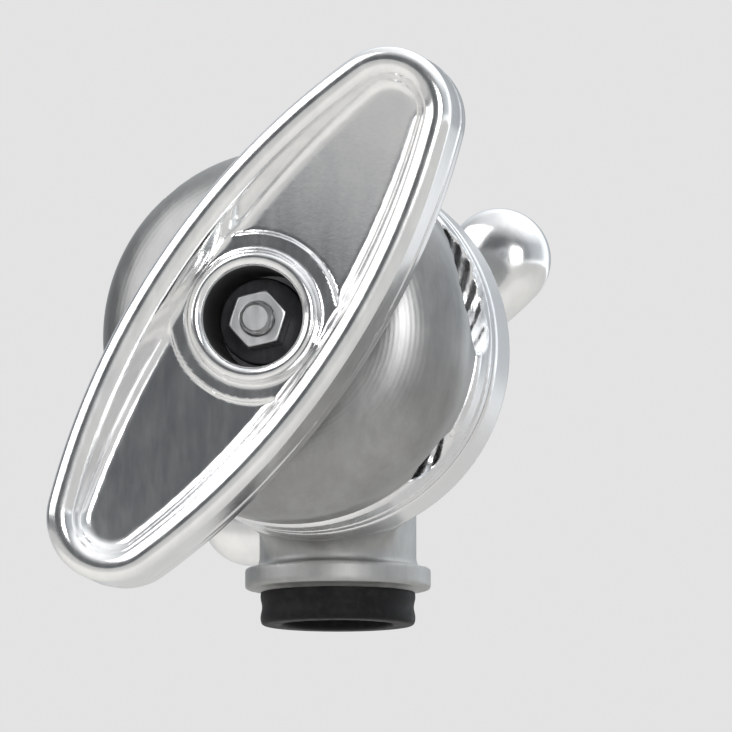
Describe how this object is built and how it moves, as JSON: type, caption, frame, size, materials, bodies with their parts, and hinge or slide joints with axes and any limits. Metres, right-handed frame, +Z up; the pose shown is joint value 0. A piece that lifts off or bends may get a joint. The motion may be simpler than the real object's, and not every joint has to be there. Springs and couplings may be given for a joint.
{
  "type": "umbrella swivel bracket",
  "caption": "Friction grip head with an umbrella shaft clamp, swivelling on a spindle above a socket for a 16 mm stand stud.",
  "frame": {"origin": "on the stand socket's axis, at the mouth of the socket bore", "axes": "+Z up along the socket, -Y forward along the clamping spindle towards the main handle, +X right"},
  "size_m": [0.0618, 0.1085, 0.0803],
  "materials": {
    "cast_alloy": "satin cast and tumbled",
    "polished_alloy": "polished cast",
    "steel": "turned and zinc plated",
    "spring_steel": "drawn wire",
    "race_steel": "ground bearing steel",
    "bronze": "sintered",
    "brass": "turned",
    "friction_fibre": "pressed fibre",
    "black_rubber": "moulded"
  },
  "bodies": {
    "base": {"base_casting": "cast_alloy", "socket_bump_ring": "black_rubber", "centre_spindle": "steel", "spindle_roll_pin": "spring_steel", "base_friction_disc": "friction_fibre", "lock_thread_bush": "brass", "stop_washer": "steel", "stop_nut": "steel"},
    "inner_jaw_set": {"inner_jaw": "cast_alloy", "inner_jaw_bush": "bronze", "jaw_guide_pins": "steel", "jaw_spring": "spring_steel"},
    "outer_jaw_set": {"outer_jaw": "cast_alloy", "outer_jaw_bush": "bronze", "spring_seat_washer": "steel", "bearing_rear_race": "race_steel", "bearing_seal_ring": "black_rubber"},
    "bearing_cage_set": {"bearing_cage": "brass", "bearing_balls": "race_steel"},
    "main_handle": {"handle_casting": "polished_alloy", "handle_thread_insert": "steel", "handle_insert_pin": "spring_steel", "bearing_front_race": "race_steel"},
    "lock_pad_body": {"lock_pad": "brass"},
    "lock_screw_set": {"lock_screw": "steel", "lock_handle": "polished_alloy", "lock_handle_pin": "spring_steel"}
  },
  "joints": [
    {"name": "jaw_swivel", "type": "hinge", "parent": "base", "child": "inner_jaw_set", "pos_m": [0, 0, 0.038], "axis": [0, -1, 0], "continuous": true},
    {"name": "outer_jaw_slide", "type": "slide", "parent": "inner_jaw_set", "child": "outer_jaw_set", "axis": [0, -1, 0], "range_m": [-0.0019, 0.0051], "deforming": ["jaw_spring"]},
    {"name": "handle_turn", "type": "hinge", "parent": "outer_jaw_set", "child": "main_handle", "pos_m": [0, 0, 0.038], "axis": [0, -1, 0], "range_deg": [-430, 1140]},
    {"name": "bearing_cage_turn", "type": "hinge", "parent": "outer_jaw_set", "child": "bearing_cage_set", "pos_m": [0, 0, 0.038], "axis": [0, -1, 0], "range_deg": [-216, 572]},
    {"name": "lock_pad_slide", "type": "slide", "parent": "base", "child": "lock_pad_body", "axis": [0, 1, 0], "range_m": [-0.003, 0.0015]},
    {"name": "lock_screw_turn", "type": "hinge", "parent": "lock_pad_body", "child": "lock_screw_set", "pos_m": [0, 0, 0.0372], "axis": [0, 1, 0], "range_deg": [-860, 430]}
  ],
  "couplings": [
    {"joint": "outer_jaw_slide", "follows": "handle_turn", "m_per_rad": 0.00025266},
    {"joint": "bearing_cage_turn", "follows": "handle_turn", "ratio": 0.5},
    {"joint": "lock_pad_slide", "follows": "lock_screw_turn", "m_per_rad": 0.00019894}
  ]
}
